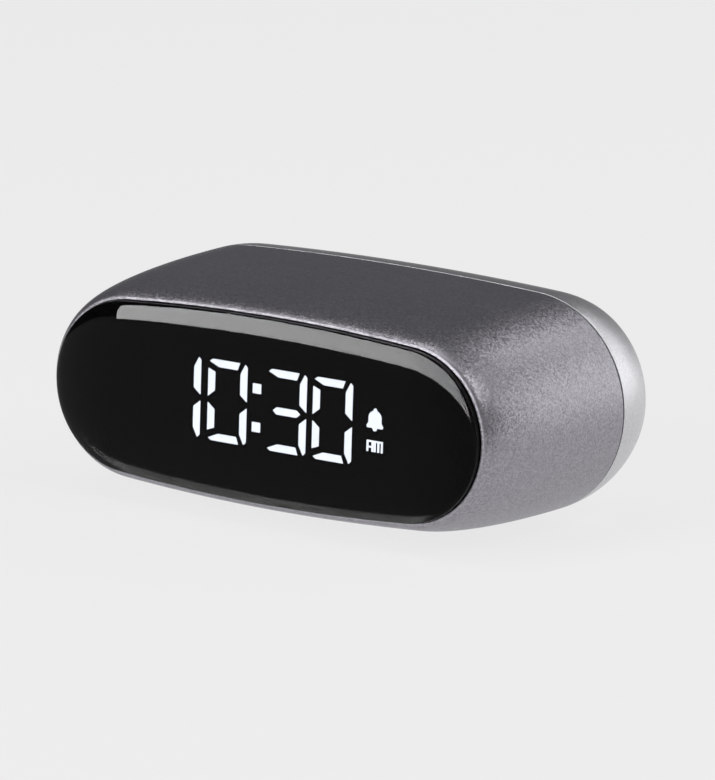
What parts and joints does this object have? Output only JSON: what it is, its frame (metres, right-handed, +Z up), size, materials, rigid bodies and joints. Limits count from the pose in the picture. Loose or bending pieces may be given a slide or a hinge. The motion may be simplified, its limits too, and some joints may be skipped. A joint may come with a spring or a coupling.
{
  "type": "digital alarm clock",
  "caption": "Compact pill-shaped digital alarm clock with a dark front lens, lit time display, painted case, rear keys and a charging inlet.",
  "frame": {"origin": "bottom centre of the bounding box, on the surface that the foot pad stands on", "axes": "+X along the clock's width, +Y from the display to the rear cover, +Z up"},
  "size_m": [0.098, 0.0528, 0.0406],
  "materials": {
    "body_paint": "fine metallic gunmetal paint, satin",
    "cover_paint": "fine metallic silver paint, satin",
    "lens": "dark tinted acrylic, high gloss",
    "print": "black screen print",
    "tape": "black adhesive tape",
    "lcd": "dark liquid crystal glass",
    "lit": "lit white display strokes",
    "backlight": "milky light guide",
    "carrier": "white moulded plastic",
    "board": "green solder resist",
    "chip": "black moulded package",
    "pin": "tinned metal",
    "screw": "zinc plated steel",
    "battery": "foil pouch",
    "black_plastic": "black moulded plastic",
    "key": "dark grey moulded plastic",
    "socket": "stainless shell",
    "magnet": "plated steel",
    "cone": "treated paper",
    "foam": "closed cell foam",
    "red_wire": "insulated wire",
    "ribbon": "flat flexible cable",
    "pad": "silicone rubber"
  },
  "bodies": {
    "case": {"body_shell": "body_paint", "foot_pad": "pad", "front_lens": "lens", "lens_mask": "print", "lens_tape": "tape", "lcd_glass": "lcd", "backlight": "backlight", "time_digits": "lit", "colon_dots": "lit", "alarm_icon": "lit", "morning_mark": "lit", "lcd_pins": "pin", "display_carrier": "carrier", "main_board": "board", "main_board_chips": "chip", "board_screws": "screw", "rear_cover": "cover_paint", "cover_screws": "screw", "rear_board": "board", "rear_board_chips": "chip", "rear_board_screws": "screw", "battery_tray": "black_plastic", "battery_tape": "tape", "battery_cell": "battery", "battery_leads": "red_wire", "key_switches": "black_plastic", "alarm_switch_body": "black_plastic", "usb_socket": "socket", "usb_tongue": "black_plastic", "speaker_frame": "magnet", "speaker_cone": "cone", "speaker_gasket": "foam", "speaker_leads": "red_wire", "ribbon_plugs": "black_plastic", "ribbon_cable": "ribbon"},
    "set_key": {"set_button": "key", "set_plunger": "black_plastic"},
    "up_key": {"up_button": "key", "up_plunger": "black_plastic"},
    "down_key": {"down_button": "key", "down_plunger": "black_plastic"},
    "alarm_slide": {"alarm_switch_knob": "key", "alarm_switch_lever": "black_plastic"}
  },
  "joints": [
    {"name": "set_key_press", "type": "slide", "parent": "case", "child": "set_key", "axis": [0, -1, 0], "range_m": [0, 0.00035], "stiffness_N_per_m": 4500},
    {"name": "up_key_press", "type": "slide", "parent": "case", "child": "up_key", "axis": [0, -1, 0], "range_m": [0, 0.00035], "stiffness_N_per_m": 4500},
    {"name": "down_key_press", "type": "slide", "parent": "case", "child": "down_key", "axis": [0, -1, 0], "range_m": [0, 0.00035], "stiffness_N_per_m": 4500},
    {"name": "alarm_slide_switch", "type": "slide", "parent": "case", "child": "alarm_slide", "axis": [1, 0, 0], "range_m": [0, 0.003]}
  ]
}
